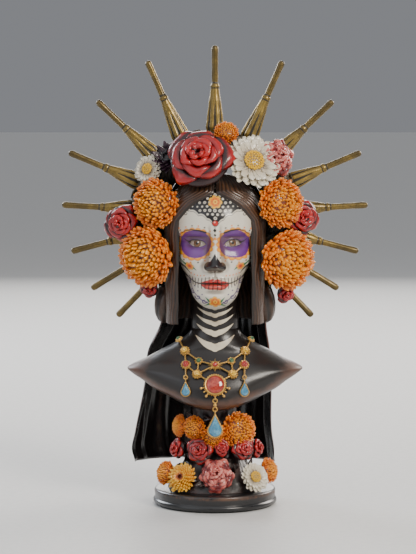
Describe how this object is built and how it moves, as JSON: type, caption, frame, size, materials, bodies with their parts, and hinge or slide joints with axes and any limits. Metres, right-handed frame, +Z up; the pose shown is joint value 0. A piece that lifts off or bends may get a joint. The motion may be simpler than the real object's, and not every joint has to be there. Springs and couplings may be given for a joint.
{
  "type": "catrina bust figurine",
  "caption": "Skull-faced lady's bust with a flower headdress, halo of gilded rays, stiff veil and jewelled necklace, on a flower-covered pedestal and a round plinth.",
  "frame": {"origin": "middle of the underside, on the face of the felt pad", "axes": "+Z up, -Y is the way the face looks, +X towards the figure's own left"},
  "size_m": [0.168, 0.068, 0.251],
  "materials": {
    "felt": "pressed wool felt",
    "black_lacquer": "black gloss lacquer",
    "dark_core": "dark brown lacquer",
    "rod_steel": "drawn rod, threaded at the foot",
    "nut_brass": "turned",
    "bust_black": "satin black with brown rubbed along the edges",
    "bone_skin": "painted bone white under satin lacquer",
    "brown_hair": "brown paint with a dark wash in the strands",
    "veil_black": "black gloss lacquer with brown rubbed on the folds",
    "wreath_dark": "paper pulp painted dark green-black",
    "aged_gold": "gilt paint with a dark wash",
    "marigold_orange": "orange paint, dark wash between the petals",
    "rose_red": "red gloss paint",
    "carnation_pink": "pink paint with a red wash",
    "daisy_white": "cream white paint with a brown wash, yellow centre",
    "plum": "plum black paint",
    "chrysanthemum_yellow": "yellow paint shaded orange",
    "necklace_gold": "gold paint over raised trim",
    "small_stones": "glossy red, yellow and green stones",
    "medallion_red": "mottled coral red",
    "turquoise": "glossy turquoise in a gold rim"
  },
  "bodies": {
    "figure": {"felt_pad": "felt", "plinth": "black_lacquer", "pedestal": "dark_core", "armature_rod": "rod_steel", "rod_nut": "nut_brass", "bust": "bust_black", "head": "bone_skin", "hair": "brown_hair", "veil": "veil_black", "wreath_core": "wreath_dark", "ray_01": "aged_gold", "ray_02": "aged_gold", "ray_03": "aged_gold", "ray_04": "aged_gold", "ray_05": "aged_gold", "ray_06": "aged_gold", "ray_07": "aged_gold", "ray_08": "aged_gold", "ray_09": "aged_gold", "ray_10": "aged_gold", "ray_11": "aged_gold", "ray_12": "aged_gold", "ray_13": "aged_gold", "ray_14": "aged_gold", "ray_15": "aged_gold", "crown_rose": "rose_red", "crown_daisy": "daisy_white", "marigold_lower_left": "marigold_orange", "marigold_lower_right": "marigold_orange", "marigold_upper_left": "marigold_orange", "marigold_upper_right": "marigold_orange", "crown_carnation": "carnation_pink", "plum_dahlia": "plum", "side_rose_left": "rose_red", "side_rose_right": "rose_red", "low_rosebud_left": "rose_red", "low_rosebud_right": "rose_red", "small_daisy": "daisy_white", "small_marigold": "marigold_orange", "base_carnation": "carnation_pink", "base_chrysanthemum": "chrysanthemum_yellow", "base_daisy": "daisy_white", "base_marigold_left": "marigold_orange", "base_marigold_right": "marigold_orange", "middle_rose_left": "rose_red", "middle_rose_right": "rose_red", "middle_rosebud": "rose_red", "far_rose_left": "rose_red", "far_rose_right": "rose_red", "top_marigold_right": "marigold_orange", "top_marigold_centre": "marigold_orange", "top_marigold_left": "marigold_orange", "far_marigold_left": "marigold_orange", "necklace_frame": "necklace_gold", "necklace_stones": "small_stones", "medallion_stone": "medallion_red"},
    "pendant_link": {"pendant_link": "necklace_gold"},
    "pendant_drop": {"pendant_drop": "turquoise"},
    "side_drop_left": {"side_drop_left": "turquoise"},
    "side_drop_right": {"side_drop_right": "turquoise"}
  },
  "joints": [
    {"name": "link_swing", "type": "hinge", "parent": "figure", "child": "pendant_link", "pos_m": [0, -0.02949, 0.06098], "axis": [0, 1, 0], "range_deg": [-20, 20]},
    {"name": "drop_swing", "type": "hinge", "parent": "pendant_link", "child": "pendant_drop", "pos_m": [0, -0.02949, 0.0548], "axis": [-1, 0, 0], "range_deg": [-8, 35]},
    {"name": "side_left_lift", "type": "hinge", "parent": "figure", "child": "side_drop_left", "pos_m": [-0.01583, -0.02452, 0.07162], "axis": [-1, 0, 0], "range_deg": [0, 60]},
    {"name": "side_right_lift", "type": "hinge", "parent": "figure", "child": "side_drop_right", "pos_m": [0.01583, -0.02452, 0.07162], "axis": [-1, 0, 0], "range_deg": [0, 60]}
  ]
}
